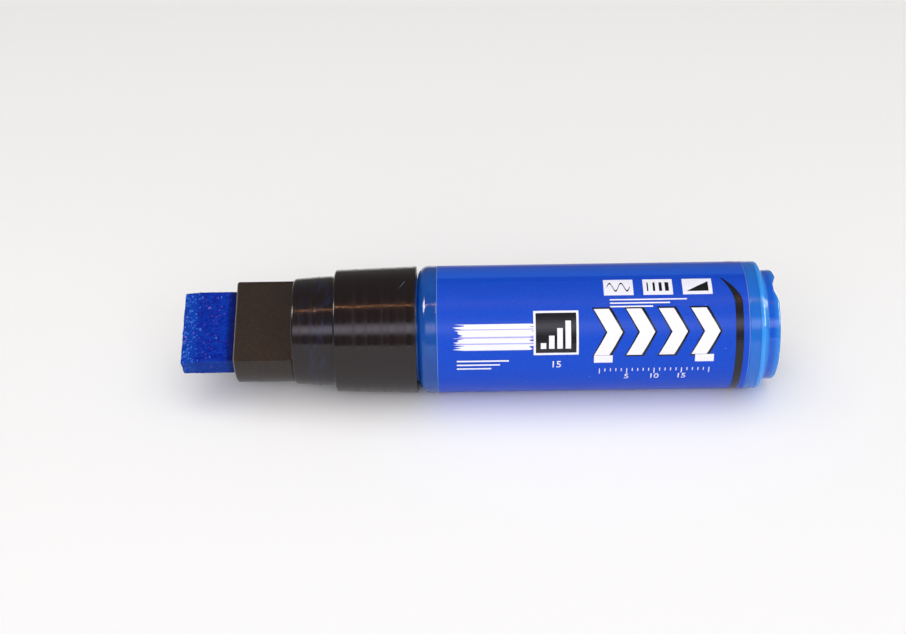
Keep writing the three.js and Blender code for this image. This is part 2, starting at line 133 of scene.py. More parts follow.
def towards(azimuth_deg, elevation_deg):
    """The direction from the marker to this side and height."""
    side, lift = math.radians(azimuth_deg), math.radians(elevation_deg)
    return Vector((
        math.sin(side) * math.cos(lift), -math.cos(side) * math.cos(lift), math.sin(lift),
    ))


towards_camera = towards(VIEW_AZIMUTH_DEG, VIEW_ELEVATION_DEG)
bpy.ops.object.camera_add(location=VIEW_AIM + VIEW_DISTANCE * towards_camera)
camera = bpy.context.object
camera.name = "photo_camera"
camera.rotation_mode = "QUATERNION"
roll = Matrix.Rotation(-math.radians(VIEW_ROLL_DEG), 3, "Z").to_quaternion()
camera.rotation_quaternion = towards_camera.to_track_quat("Z", "Y") @ roll
camera.data.lens = LENS_MM
camera.data.sensor_width = SENSOR_MM
camera.data.shift_x, camera.data.shift_y = (shift / FRAME_WIDTH_PX for shift in SHIFT_PX)
camera.data.clip_start = 1 * MM
bpy.context.scene.camera = camera
print("camera at", [round(v / MM, 1) for v in camera.location])

# %% [markdown]
# ## Colours, nodes and looks
#
# Every finish is a Principled shader with a few nodes before it. One helper adds a node and
# another feeds an input. Looks that come back have helpers of their own: a colour laid over a
# ground, a mottled colour, specks, and the slow waves of any moulded or glued skin.

# %% Colour, node and look helpers
def linear(hex_colour):
    """An sRGB hex colour as linear red, green, blue and alpha."""
    channels = []
    for place in (1, 3, 5):
        share = int(hex_colour[place:place + 2], 16) / 255
        channels.append(share / 12.92 if share <= 0.04045 else ((share + 0.055) / 1.055) ** 2.4)
    return (*channels, 1.0)


def feed(node, name, source):
    """Sets an input to a value or hex colour, or links it to a socket or a node's first output."""
    if isinstance(source, bpy.types.Node):
        source = next(output for output in source.outputs if output.enabled)
    if isinstance(source, bpy.types.NodeSocket):
        node.id_data.links.new(source, node.inputs[name])
    else:
        node.inputs[name].default_value = linear(source) if isinstance(source, str) else source


def add_node(material, kind, inputs=None, stops=(), **settings):
    """One shader node. "From" and "To" take both ends of a range, and stops are those of a ramp."""
    node = material.node_tree.nodes.new("ShaderNode" + kind)
    for name, value in settings.items():
        setattr(node, name, value)
    for name, source in (inputs or {}).items():
        if name in ("From", "To"):
            feed(node, name + " Min", source[0])
            feed(node, name + " Max", source[1])
        else:
            feed(node, name, source)
    if stops:
        elements = node.color_ramp.elements
        while len(elements) < len(stops):
            elements.new(0.5)
        for element, (position, colour) in zip(elements, stops):
            element.position, element.color = position, linear(colour)
    return node


def new_material(name, **sockets):
    """A material with one Principled shader, which takes the sockets' values."""
    material = bpy.data.materials.new(name)
    material.use_nodes = True
    shader = material.node_tree.nodes["Principled BSDF"]
    for socket, value in sockets.items():
        feed(shader, socket.replace("_", " "), value)
    return material, shader


def skin_places(material):
    """The place of each point of the skin, and its X, Y and Z."""
    spot = add_node(material, "TexCoord").outputs["Object"]
    return spot, add_node(material, "SeparateXYZ", {"Vector": spot}).outputs


def laid_over(material, ground, colour, *shares):
    """Lays a colour over the ground by the product of some shares. Each is a measure, the span that
    it runs over, and how strong the colour is at both ends of the span."""
    mask = 1.0
    for measure, span, strengths in shares:
        share = add_node(material, "MapRange", {"Value": measure, "From": span, "To": strengths})
        mask = add_node(material, "Math", {0: mask, 1: share}, operation="MULTIPLY")
    return add_node(material, "Mix", {"Factor": mask, "A": ground, "B": colour}, data_type="RGBA")


def mottled(material, spot, scale, detail, *stops):
    """A colour that wanders between two stops. The scale is in patches per metre."""
    clouds = add_node(material, "TexNoise", {"Vector": spot, "Scale": scale, "Detail": detail})
    return add_node(material, "ValToRGB", {"Fac": clouds}, stops=stops)


def speckled(material, spot, ground, cell_mm, chance, reach, strength, colour):
    """Lays specks of a colour over the ground: one in some of the cells, as wide as reach."""
    cells = add_node(material, "TexVoronoi", {"Vector": spot, "Scale": 1 / (cell_mm * MM)})
    dice = add_node(material, "SeparateColor", {"Color": cells.outputs["Color"]})
    chosen = add_node(material, "Math", {0: dice, 1: chance}, operation="GREATER_THAN")
    core = (cells, (reach, reach / 3), (0.0, strength))
    return laid_over(material, ground, colour, core, (chosen, (0.0, 1.0), (0.0, 1.0)))


def wavy(material, shader, spot, scale, detail, strength, depth):
    """Bends the reflections of a skin by slow waves. The scale is in waves per metre."""
    waves = add_node(material, "TexNoise", {"Vector": spot, "Scale": scale, "Detail": detail})
    feed(shader, "Normal", add_node(material, "Bump", {
        "Height": waves, "Strength": strength, "Distance": depth,
    }))


# %% [markdown]
# ## Floor and light
#
# The marker lies on a plain pale table. Glossy black plastic shows its surroundings more than its
# own colour, so the lights are shaped for what they draw on the collar: a soft box in front
# becomes a wide grey band, and a warm strip high above one thin line. Two side windows draw
# glints on edges. The broad light comes from two panels that no surface mirrors: one overhead,
# for the soft shadow, and a weaker one in front.

# %% Floor and lights
FLOOR_SIZE = 6.0
SOFTBOX_PEAK = 1.6

bpy.ops.mesh.primitive_plane_add(size=FLOOR_SIZE)
floor = bpy.context.object
floor.name = "table_top"
paper, shader = new_material(
    "matt white table paper", Base_Color="#FBFBFA", Roughness=0.8, Specular_IOR_Level=0.0,
)
floor.data.materials.append(paper)

world = bpy.data.worlds.new("studio")
bpy.context.scene.world = world
world.use_nodes = True
feed(world.node_tree.nodes["Background"], "Color", "#D6D4D2")
feed(world.node_tree.nodes["Background"], "Strength", 0.32)
bpy.context.scene.view_settings.view_transform = "Standard"


def panel_light(name, side_deg, lift_deg, distance, size, watts, colour, mirrored=True, lit=True):
    """A rectangular light of this width and height, which faces the marker with its width level."""
    direction = towards(side_deg, lift_deg)
    bpy.ops.object.light_add(type="AREA", location=direction * distance)
    light = bpy.context.object
    light.name = name
    light.data.shape = "RECTANGLE"
    light.data.size, light.data.size_y = size
    light.data.energy = watts
    light.data.color = linear(colour)[:3]
    light.visible_glossy, light.visible_diffuse = mirrored, lit
    light.rotation_mode = "QUATERNION"
    light.rotation_quaternion = direction.to_track_quat("Z", "Y")
    return light.data


def fade_edges(light):
    """Makes a panel brightest along its middle line, as a cloth-fronted soft box is."""
    light.use_nodes = True
    across = add_node(light, "NewGeometry").outputs["Parametric"]
    parts = add_node(light, "SeparateXYZ", {"Vector": across}).outputs
    half_turn = add_node(light, "Math", {0: parts["Y"], 1: math.pi}, operation="MULTIPLY")
    glow = add_node(light, "Math", {0: half_turn}, operation="SINE")
    strength = add_node(light, "Math", {0: glow, 1: SOFTBOX_PEAK}, operation="MULTIPLY")
    feed(light.node_tree.nodes["Emission"], "Strength", strength)


panel_light("overhead_panel", 0, 78, 1.6, (3.2, 2.8), 28.0, "#FFFEFC", mirrored=False)
panel_light("front_fill", 0, 22, 1.2, (1.8, 0.7), 7.8, "#FFFEFC", mirrored=False)
fade_edges(panel_light("front_softbox", 0, 31, 1.0, (1.3, 0.42), 2.9, "#F1ECFF"))
panel_light("warm_strip", 0, 73.5, 0.9, (1.3, 0.004), 1.0, "#FFB070", lit=False)
panel_light("left_window", -78, 48, 1.2, (0.35, 0.4), 9.0, "#FFFFFF", lit=False)
panel_light("right_window", 80, 26, 1.2, (0.3, 1.1), 34.0, "#FFFFFF", lit=False)

# %% [markdown]
# ## Turned pieces
#
# Most of the marker is round. By hand, such a piece is drawn as a profile and spun about the
# axis: one vertex is extruded from point to point and Spin sweeps the chain round. Sharp edges
# get a small Bevel modifier, because a moulded edge always catches a line of light, and Weighted
# Normal keeps the wide faces beside it even.

# %% Drawing and turning helpers
TURN_STEPS = 144
MERGE_DISTANCE = 0.2e-6
SMOOTH_ANGLE = math.radians(32)


def select_only(*objects):
    bpy.ops.object.select_all(action="DESELECT")
    for thing in objects:
        thing.select_set(True)
    bpy.context.view_layer.objects.active = objects[-1]


def settle(piece):
    """Writes the place, turn and size of a piece into its mesh."""
    select_only(piece)
    bpy.ops.object.transform_apply(location=True, rotation=True, scale=True)


def open_mesh(piece, parts="VERT"):
    """Goes into edit mode on one piece, with all of its mesh selected."""
    select_only(piece)
    bpy.ops.object.mode_set(mode="EDIT")
    bpy.ops.mesh.select_mode(type=parts)
    bpy.ops.mesh.select_all(action="SELECT")


def close_mesh():
    bpy.ops.object.mode_set(mode="OBJECT")


def pick(piece, parts, test):
    """In edit mode, selects only the verts or faces that pass a test."""
    bpy.ops.mesh.select_all(action="DESELECT")
    for part in getattr(bmesh.from_edit_mesh(piece.data), parts):
        part.select_set(test(part))
    bmesh.update_edit_mesh(piece.data)


def drawn(name, points):
    """Extrudes one vertex from point to point. The chain stays open in edit mode, all selected."""
    bpy.ops.mesh.primitive_plane_add(size=MM)
    piece = bpy.context.object
    piece.name = name
    open_mesh(piece)
    bpy.ops.mesh.merge(type="CENTER")
    bpy.ops.transform.translate(value=points[0])
    for here, there in zip(points, points[1:]):
        bpy.ops.mesh.extrude_vertices_move(TRANSFORM_OT_translate={"value": there - here})
    bpy.ops.mesh.select_all(action="SELECT")
    return piece


def turned(name, profile):
    """Spins a profile of (station, radius) points in millimetres about the marker's axis."""
    piece = drawn(name, [
        Vector((x_at(station), 0, AXIS_Z + radius * MM)) for station, radius in profile
    ])
    bpy.ops.mesh.spin(steps=TURN_STEPS, angle=2 * math.pi, center=(0, 0, AXIS_Z), axis=(1, 0, 0))
    bpy.ops.mesh.select_all(action="SELECT")
    bpy.ops.mesh.remove_doubles(threshold=MERGE_DISTANCE)
    bpy.ops.mesh.normals_make_consistent(inside=False)
    close_mesh()
    return piece


def rounding(station, radius, size, start_deg, sweep_deg=90, steps=6):
    """The points of a rounded profile edge, from this angle on, about this station and radius."""
    angles = [math.radians(start_deg + sweep_deg * step / steps) for step in range(steps + 1)]
    return [(station + size * math.sin(a), radius + size * math.cos(a)) for a in angles]


def apply_modifier(piece, kind, **settings):
    select_only(piece)
    modifier = piece.modifiers.new(kind.lower(), kind)
    for name, value in settings.items():
        setattr(modifier, name, value)
    bpy.ops.object.modifier_apply(modifier=modifier.name)


def soften(piece, width_mm, segments=3):
    """Rounds the sharp edges of a piece and smooths the rest, with the flats kept flat."""
    apply_modifier(
        piece, "BEVEL", width=width_mm * MM, segments=segments,
        limit_method="ANGLE", angle_limit=SMOOTH_ANGLE, use_clamp_overlap=True,
    )
    bpy.ops.object.shade_smooth_by_angle(angle=SMOOTH_ANGLE)
    apply_modifier(piece, "WEIGHTED_NORMAL", keep_sharp=True)


def cut_away(piece, cutter):
    """Subtracts a cutter from a piece and removes the cutter."""
    apply_modifier(piece, "BOOLEAN", object=cutter, operation="DIFFERENCE", solver="EXACT")
    bpy.data.objects.remove(cutter, do_unlink=True)


def dress(piece, body, material, slot, *replaced):
    """Gives a piece its finish, and hands it to the body that carries it."""
    piece.data.materials.clear()
    piece.data.materials.append(material)
    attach(piece, body)
    if replaced:
        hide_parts(*replaced)
    print(piece.name, len(piece.data.polygons), "faces on", body)


# %% [markdown]
# ## The front collar
#
# One glossy black moulding: a slightly tapered neck that the cap pushes onto, with a snap bead
# and an undercut, then a step that stops the cap, then the wider grip. The bore is kept, because
# an unscrewed collar shows its mouth.

# %% Front collar mesh
NECK_BORE = 8.95
NECK_FRONT_RADIUS = 9.93
NECK_REAR_RADIUS = 10.33
NECK_EDGE = 0.5
BEAD_STATION = NECK_FRONT + 4.6
BEAD_HEIGHT = 0.1
BEAD_HALF_WIDTH = 0.3
CAP_STOP = NECK_FRONT + 7.8
UNDERCUT_START = CAP_STOP - 0.8
UNDERCUT_SLOPE = 0.5
UNDERCUT_RADIUS = 10.14
COLLAR_FRONT_RADIUS = 11.46
COLLAR_EDGE = 0.4
SKIRT_BORE = 10.28
SKIRT_FLOOR = NECK_FRONT + 10.4
SKIRT_CHAMFER = 0.4

bead_share = (BEAD_STATION - NECK_FRONT) / (UNDERCUT_START - NECK_FRONT)
bead_root = NECK_FRONT_RADIUS + bead_share * (NECK_REAR_RADIUS - NECK_FRONT_RADIUS)
collar = turned("front_collar_moulding", [
    (NECK_FRONT, NECK_BORE),
    *rounding(NECK_FRONT + NECK_EDGE, NECK_FRONT_RADIUS - NECK_EDGE, NECK_EDGE, -90),
    (BEAD_STATION - BEAD_HALF_WIDTH, bead_root),
    (BEAD_STATION, bead_root + BEAD_HEIGHT),
    (BEAD_STATION + BEAD_HALF_WIDTH, bead_root),
    (UNDERCUT_START, NECK_REAR_RADIUS),
    (UNDERCUT_START + UNDERCUT_SLOPE, UNDERCUT_RADIUS),
    (CAP_STOP, UNDERCUT_RADIUS),
    *rounding(CAP_STOP + COLLAR_EDGE, COLLAR_FRONT_RADIUS - COLLAR_EDGE, COLLAR_EDGE, -90),
    (COLLAR_REAR, COLLAR_REAR_RADIUS),
    (COLLAR_REAR, SKIRT_BORE + SKIRT_CHAMFER),
    (COLLAR_REAR - SKIRT_CHAMFER, SKIRT_BORE),
    (SKIRT_FLOOR, SKIRT_BORE),
    (SKIRT_FLOOR, NECK_BORE),
    (NECK_FRONT, NECK_BORE),
])
soften(collar, 0.05)

# %% [markdown]
# Polished ABS is nearly black with a sharp reflection. A noise along X alone makes the gloss
# duller in narrow rings, the marks of the mould's turning, which streak the soft box. Fingers
# left thin blue paint smears round the neck, which another noise lays over the black. The skirt
# has one short pale scratch: the points of the skin close to a line between two places.

# %% Glossy black ABS
RING_MARKS_PER_METRE = 1000
SCRATCH_HALF_WIDTH = 0.1 * MM

gloss_black, shader = new_material(
    "polished black ABS", Base_Color="#150B0C", Roughness=0.12, IOR=1.53, Specular_IOR_Level=0.44,
)
spot, parts = skin_places(gloss_black)
ring_place = add_node(gloss_black, "CombineXYZ", {"X": parts["X"]})
ring_marks = add_node(gloss_black, "TexNoise", {
    "Vector": ring_place, "Scale": RING_MARKS_PER_METRE, "Detail": 3.0, "Roughness": 0.6,
})
feed(shader, "Roughness", add_node(gloss_black, "MapRange", {
    "Value": ring_marks, "From": (0.38, 0.62), "To": (0.06, 0.26),
}))
wavy(gloss_black, shader, spot, 90.0, 2.0, 0.06, 0.0004)

smear_place = add_node(gloss_black, "Mapping", {"Vector": spot, "Scale": (760.0, 260.0, 260.0)})
smear_noise = add_node(gloss_black, "TexNoise", {
    "Vector": smear_place, "Scale": 1.0, "Detail": 7.0, "Roughness": 0.72,
})
smeared = laid_over(
    gloss_black, "#150B0C", "#1D3A6C", (smear_noise, (0.48, 0.76), (0.0, 0.36)),
    (parts["X"], (x_at(NECK_FRONT + 2.0), x_at(NECK_FRONT + 5.0)), (0.25, 1.0)),
    (parts["X"], (x_at(CAP_STOP + 0.3), x_at(CAP_STOP)), (0.0, 1.0)),
)

scratch_start, scratch_end = (
    on_skin(x_at(COLLAR_REAR - before_rear), COLLAR_REAR_RADIUS, math.radians(turn_deg))
    for before_rear, turn_deg in ((3.3, 66), (1.9, 78))
)
scratch_way = (scratch_end - scratch_start).normalized()
scratch_length = (scratch_end - scratch_start).length
offset = add_node(gloss_black, "VectorMath", {0: spot, 1: scratch_start}, operation="SUBTRACT")
run = add_node(gloss_black, "VectorMath", {0: offset, 1: scratch_way}, operation="DOT_PRODUCT")
aside = add_node(gloss_black, "VectorMath", {0: offset, 1: scratch_way}, operation="CROSS_PRODUCT")
off_line = add_node(gloss_black, "VectorMath", {0: aside}, operation="LENGTH")
feed(shader, "Base Color", laid_over(
    gloss_black, smeared, "#7E96AC", (off_line, (SCRATCH_HALF_WIDTH, 0.0), (0.0, 0.45)),
    (run, (0.0, scratch_length * 0.6), (0.0, 1.0)),
    (run, (scratch_length, scratch_length * 0.9), (0.0, 1.0)),
))
dress(collar, "front", gloss_black, "collar_plastic", "front_collar")

# %% [markdown]
# ## The nib holder
#
# A matt dark plug with two flats. It starts as a turned body and loses two slices, its socket
# and the grooves that let air past the nib to boolean cuts with simple boxes. It is made with its
# flats level and then rolled about the marker's axis, as the nib is.

# %% Nib holder mesh
NIB_WIDTH = 15.0
NIB_THICKNESS = 5.0
NIB_ROLL_DEG = 57.0
HOLDER_RADIUS = 9.44
HOLDER_EDGE = 0.3
SPIGOT_RADIUS = 8.84
SPIGOT_CHAMFER = 0.4
SOCKET_THICKNESS = NIB_THICKNESS + 0.3
SOCKET_WIDTH = NIB_WIDTH + 0.3
FLAT_APART = 8.6
FLAT_END = NECK_FRONT - 0.1
VENT_WIDTH = 1.2
VENT_DEPTH = 0.6
VENT_OFFSETS = (-4.0, 0.0, 4.0)


def level_box(name, station, length, height, depth, side, width):
    """A box by its middle and size: length along X, depth along Z and width along Y."""
    bpy.ops.mesh.primitive_cube_add(size=1)
    box = bpy.context.object
    box.name = name
    box.scale = (length * MM, width * MM, depth * MM)
    box.location = (x_at(station), side * MM, height * MM)
    settle(box)
    return box


def rolled(piece, degrees):
    """Turns a level piece about the X axis and lifts it to the marker's axis."""
    piece.rotation_euler.x = math.radians(degrees)
    piece.location.z = AXIS_Z
    settle(piece)


holder = turned("nib_holder_moulding", [
    (HOLDER_FRONT, 0),
    (HOLDER_FRONT, HOLDER_RADIUS - HOLDER_EDGE),
    (HOLDER_FRONT + HOLDER_EDGE, HOLDER_RADIUS),
    (FLAT_END, HOLDER_RADIUS),
    (FLAT_END, SPIGOT_RADIUS),
    (SPIGOT_REAR - SPIGOT_CHAMFER, SPIGOT_RADIUS),
    (SPIGOT_REAR, SPIGOT_RADIUS - SPIGOT_CHAMFER),
    (SPIGOT_REAR, 0),
])
holder.location.z = -AXIS_Z
settle(holder)
holder_middle = (SPIGOT_REAR + HOLDER_FRONT) / 2
cut_length = 2 * (SPIGOT_REAR - HOLDER_FRONT)
for sign in (-1, 1):
    cut_away(holder, level_box(
        "flat_cutter", HOLDER_FRONT, 2 * (FLAT_END - HOLDER_FRONT),
        sign * (FLAT_APART / 2 + HOLDER_RADIUS), 2 * HOLDER_RADIUS, 0, 4 * HOLDER_RADIUS,
    ))
    for offset_mm in VENT_OFFSETS:
        cut_away(holder, level_box(
            "vent_cutter", holder_middle, cut_length,
            sign * SOCKET_THICKNESS / 2, 2 * VENT_DEPTH, offset_mm, VENT_WIDTH,
        ))
cut_away(holder, level_box(
    "socket_cutter", holder_middle, cut_length, 0, SOCKET_THICKNESS, 0, SOCKET_WIDTH,
))
rolled(holder, 90 - NIB_ROLL_DEG)
soften(holder, 0.2)

# %% [markdown]
# The holder is moulded in a spark-eroded tool: dark brown-black, with a fine grain that scatters
# the light. The grain is twice its real size, at which it would vanish between the pixels. A few
# grains are painted as ochre dots, painted glints where they would catch the light, and a paler
# strip along the front edge is a painted highlight where that edge catches the light.

# %% Spark-eroded polypropylene
GRAIN_MM = 0.2
EDGE_HIGHLIGHT_MM = 0.22

matt_black, shader = new_material(
    "spark-eroded brown-black polypropylene", Base_Color="#2C2421", Roughness=0.3, IOR=1.49,
)
spot, parts = skin_places(matt_black)
grain = add_node(matt_black, "TexNoise", {
    "Vector": spot, "Scale": 1 / (GRAIN_MM * MM), "Detail": 3.0, "Roughness": 0.6,
})
brown = mottled(matt_black, spot, 300.0, 3.0, (0.35, "#110804"), (0.65, "#170D07"))
# Painted glints: a few grains are painted ochre, where they would catch the light.
grain_glints = laid_over(matt_black, brown, "#5A422E", (grain, (0.54, 0.7), (0.0, 0.5)))
# Painted highlight: a paler strip along the front edge, where the edge catches the light.
painted_edge_highlight = (x_at(HOLDER_FRONT + EDGE_HIGHLIGHT_MM), x_at(HOLDER_FRONT))
feed(shader, "Base Color", laid_over(
    matt_black, grain_glints, "#A09684", (parts["X"], painted_edge_highlight, (0.0, 0.5)),
))
feed(shader, "Normal", add_node(matt_black, "Bump", {
    "Height": grain, "Strength": 0.35, "Distance": 0.00005,
}))
dress(holder, "front", matt_black, "holder_plastic", "nib_holder")

# %% [markdown]
# ## The nib
#
# A block of pressed polyester felt, 15 by 5 mm, whose upper face is worn down along the writing
# edge. Two bisecting planes cut the worn face and the tip, which is a little out of square. A
# plain block would still look like plastic, so after a voxel remesh three noises move its skin:
# for the pressed fibres, the frayed edges and, along X only, the uneven tip.

# %% Nib mesh
NIB_REAR = ends_of("nib")[1]
WORN_LENGTH = 2.7
WORN_DEPTH = 0.5
TIP_SLANT = 0.1
TIP_WEAR = 0.16
FELT_SKIN = 0.03
FELT_VOXEL = 0.17

nib = level_box(
    "felt_nib", NIB_REAR / 2, NIB_REAR - TIP_WEAR,
    0, NIB_THICKNESS - 2 * FELT_SKIN, 0, NIB_WIDTH - 2 * FELT_SKIN,
)
nib.location.x = -TIP_WEAR / 2 * MM
settle(nib)
face_height = NIB_THICKNESS / 2 - FELT_SKIN
open_mesh(nib)
for plane_point, plane_normal in (
    ((x_at(WORN_LENGTH), 0, face_height * MM), (-WORN_DEPTH, 0, WORN_LENGTH)),
    ((x_at(TIP_SLANT / 2), 0, 0), (-NIB_WIDTH, -TIP_SLANT, 0)),
):
    across = Vector(plane_normal).normalized()
    bpy.ops.mesh.bisect(plane_co=plane_point, plane_no=across, use_fill=True, clear_outer=True)
    bpy.ops.mesh.select_all(action="SELECT")
bpy.ops.mesh.normals_make_consistent(inside=False)
close_mesh()
soften(nib, 0.12, segments=2)
apply_modifier(nib, "REMESH", mode="VOXEL", voxel_size=FELT_VOXEL * MM)

for texture_name, noise_mm, depth_mm, direction, still in (
    ("pressed fibres", 0.38, 0.14, "NORMAL", 0.65),
    ("frayed edges", 1.5, 0.12, "NORMAL", 0.65),
    ("uneven tip", 3.2, TIP_WEAR, "X", 0.3),
):
    texture = bpy.data.textures.new(texture_name, "CLOUDS")
    texture.noise_scale = noise_mm * MM
    texture.noise_depth = 2
    apply_modifier(
        nib, "DISPLACE", texture=texture, texture_coords="LOCAL", direction=direction,
        strength=depth_mm * MM, mid_level=still,
    )
rolled(nib, 90 - NIB_ROLL_DEG)
bpy.ops.object.shade_smooth()

# %% [markdown]
# Soaked felt has matt valleys between the fibres and lighter tufts on top. Two noises, one as
# fine as the fibres and one of patches a millimetre wide, mix deep cobalt and a brighter blue.
# Warped cells become specks: dried pink paint on the face, and pale flecks of bared polyester
# near the writing edge. Beside the holder the felt is painted darker: partly the paint that
# gathers there, partly painted shade that the holder casts.

# %% Paint-soaked felt
FIBRE_MM = 0.34
PATCH_MM = 1.1
WARP_MM = 0.8
WARP_REACH_MM = 0.9

felt, shader = new_material(
    "polyester felt soaked with cobalt blue acrylic",
    Base_Color="#0E2FA0", Roughness=0.85, IOR=1.45, Specular_IOR_Level=0.08,
)
spot, parts = skin_places(felt)
along = parts["X"]
fibre_place = add_node(felt, "Mapping", {"Vector": spot, "Scale": (0.6, 1.0, 1.0)})
fibres = add_node(felt, "TexNoise", {
    "Vector": fibre_place, "Scale": 1 / (FIBRE_MM * MM), "Detail": 3.0, "Roughness": 0.6,
})
wet_patches = add_node(felt, "TexNoise", {
    "Vector": spot, "Scale": 1 / (PATCH_MM * MM), "Detail": 2.0,
})
tone = add_node(felt, "Mix", {"Factor": 0.3, "A": fibres, "B": wet_patches}, data_type="FLOAT")
blue = add_node(felt, "ValToRGB", {"Fac": tone}, stops=((0.4, "#001680"), (0.6, "#00349E")))
worn_zone = (x_at(WORN_LENGTH + 0.3), x_at(WORN_LENGTH - 0.5))
worn = laid_over(felt, blue, "#0641A6", (along, worn_zone, (0.0, 0.5)))

warp = add_node(felt, "TexNoise", {"Vector": spot, "Scale": 1 / (WARP_MM * MM), "Detail": 2.0})
warp_shift = add_node(felt, "VectorMath", {
    0: warp.outputs["Color"], 1: (0.5, 0.5, 0.5),
}, operation="SUBTRACT")
warp_reach = add_node(felt, "VectorMath", {
    0: warp_shift, "Scale": WARP_REACH_MM * MM,
}, operation="SCALE")
warped = add_node(felt, "VectorMath", {0: spot, 1: warp_reach}, operation="ADD")
fleck_chance = add_node(felt, "MapRange", {
    "Value": along, "From": (x_at(3.6), x_at(1.2)), "To": (0.96, 0.42),
})
speck_chance = add_node(felt, "MapRange", {
    "Value": along, "From": (x_at(1.5), x_at(3.0)), "To": (0.99, 0.84),
})
flecked = speckled(felt, warped, worn, 0.44, fleck_chance, 0.5, 0.7, "#5890DC")
specked = speckled(felt, warped, flecked, 0.5, speck_chance, 0.4, 0.5, "#7444A8")
rosy = speckled(felt, warped, specked, 0.7, 0.96, 0.3, 0.7, "#B46AA4")
# Painted darker beside the holder: the paint that gathers there, and painted shade from the holder.
wet_and_shade_zone = (x_at(HOLDER_FRONT - 1.9), x_at(HOLDER_FRONT - 1.2))
soaked_and_shaded = laid_over(felt, rosy, "#05104A", (along, wet_and_shade_zone, (0.0, 0.8)))

level_turn = math.radians(90 - NIB_ROLL_DEG)
across_nib = add_node(felt, "VectorMath", {
    0: spot, 1: (0.0, math.cos(level_turn), math.sin(level_turn)),
}, operation="DOT_PRODUCT")
near_side = -NIB_WIDTH / 2 * MM + AXIS_Z * math.sin(level_turn)
side_zone = (near_side + 0.22 * MM, near_side + 0.12 * MM)
feed(shader, "Base Color", laid_over(
    felt, soaked_and_shaded, "#284890", (across_nib, side_zone, (0.0, 0.38)),
))
feed(shader, "Normal", add_node(felt, "Bump", {
    "Height": fibres, "Strength": 0.9, "Distance": 0.0002,
}))
dress(nib, "nib", felt, "felt", "nib")

# %% [markdown]
# ## The barrel and its paint
#
# A translucent tube with a rounded shoulder and a shallow bed for the label. The paint on its
# wall throws the light back, so the wall is a blue shell that lets some light through, and the
# paint is an opaque skin just inside it.

# %% Barrel and paint meshes
SEAT_GAP = 0.3
BARREL_SHOULDER = COLLAR_REAR + SEAT_GAP
SHOULDER_ROUND = 2.0
BARREL_NECK_RADIUS = 9.77
BARREL_NECK_BORE = 8.42
BARREL_NECK_CHAMFER = 0.4
BARREL_BORE = 10.7
BORE_START = BARREL_SHOULDER + 2.5
BORE_FULL = BORE_START + 2.0
LABEL_BED_RADIUS = BARREL_RADIUS - 0.12
LABEL_END_GAP = 0.1
PAINT_GAP = 0.05
PAINT_THICKNESS = 0.25
PAINT_FRONT = BARREL_RIM + 0.5
PAINT_REAR = PLUG_SPIGOT_FRONT - SEAT_GAP

barrel = turned("barrel_tube", [
    (BARREL_RIM, BARREL_NECK_BORE),
    (BARREL_RIM, BARREL_NECK_RADIUS - BARREL_NECK_CHAMFER),
    (BARREL_RIM + BARREL_NECK_CHAMFER, BARREL_NECK_RADIUS),
    (BARREL_SHOULDER, BARREL_NECK_RADIUS),
    *rounding(
        BARREL_SHOULDER + SHOULDER_ROUND, BARREL_RADIUS - SHOULDER_ROUND, SHOULDER_ROUND, -90,
        steps=10,
    ),
    (LABEL_FRONT - LABEL_END_GAP, BARREL_RADIUS),
    (LABEL_FRONT - LABEL_END_GAP, LABEL_BED_RADIUS),
    (LABEL_REAR + LABEL_END_GAP, LABEL_BED_RADIUS),
    (LABEL_REAR + LABEL_END_GAP, BARREL_RADIUS),
    (BARREL_REAR, BARREL_RADIUS),
    (BARREL_REAR, BARREL_BORE),
    (BORE_FULL, BARREL_BORE),
    (BORE_START, BARREL_NECK_BORE),
    (BARREL_RIM, BARREL_NECK_BORE),
])
soften(barrel, 0.06)

paint_skin = BARREL_BORE - PAINT_GAP
paint_neck = BARREL_NECK_BORE - PAINT_GAP
paint_outside = [
    (PAINT_FRONT, paint_neck), (BORE_START + PAINT_GAP, paint_neck),
    (BORE_FULL, paint_skin), (PAINT_REAR, paint_skin),
]
paint_inside = [(station, radius - PAINT_THICKNESS) for station, radius in paint_outside[::-1]]
paint_coat = turned("paint_coat", paint_outside + paint_inside + paint_outside[:1])
soften(paint_coat, 0.02)

# %% [markdown]
# A screw thread runs round the neck of the barrel, with its twin in the collar's skirt, and shows
# when the collar is unscrewed. The ridge's cross-section is drawn as a chain of vertices, and the
# Screw modifier sweeps it 2.5 mm along for each turn, which is how the collar moves.

# %% Thread meshes
THREAD_PITCH = 2.5
THREAD_TURNS = 2.75
THREAD_FIRST = BARREL_RIM + 1.3
THREAD_ROOT_WIDTH = 1.0
THREAD_CREST_WIDTH = 0.5
THREAD_ROOT_DEPTH = 0.05
THREAD_HEIGHT = 0.36


def wound(name, section, first_station, pitch, turns, steps_per_turn):
    """A section of (offset, radius) points, wound round the marker's axis from this station on."""
    coil = drawn(name, [Vector((offset * MM, 0, radius * MM)) for offset, radius in section])
    bpy.ops.mesh.edge_face_add()
    close_mesh()
    steps = round(steps_per_turn * turns)
    apply_modifier(
        coil, "SCREW", axis="X", angle=2 * math.pi * turns, screw_offset=pitch * turns * MM,
        steps=steps, render_steps=steps, use_merge_vertices=False,
    )
    coil.location = (x_at(first_station), 0, AXIS_Z)
    settle(coil)
    open_mesh(coil)
    bpy.ops.mesh.normals_make_consistent(inside=False)
    close_mesh()
    bpy.ops.object.shade_smooth_by_angle(angle=SMOOTH_ANGLE)
    return coil


def thread(name, root_radius, crest_radius, first_station):
    """A ridge with this root and crest, wound from this station on."""
    section = [
        (-THREAD_ROOT_WIDTH / 2, root_radius), (-THREAD_CREST_WIDTH / 2, crest_radius),
        (THREAD_CREST_WIDTH / 2, crest_radius), (THREAD_ROOT_WIDTH / 2, root_radius),
    ]
    return wound(name, section, first_station, THREAD_PITCH, THREAD_TURNS, TURN_STEPS)


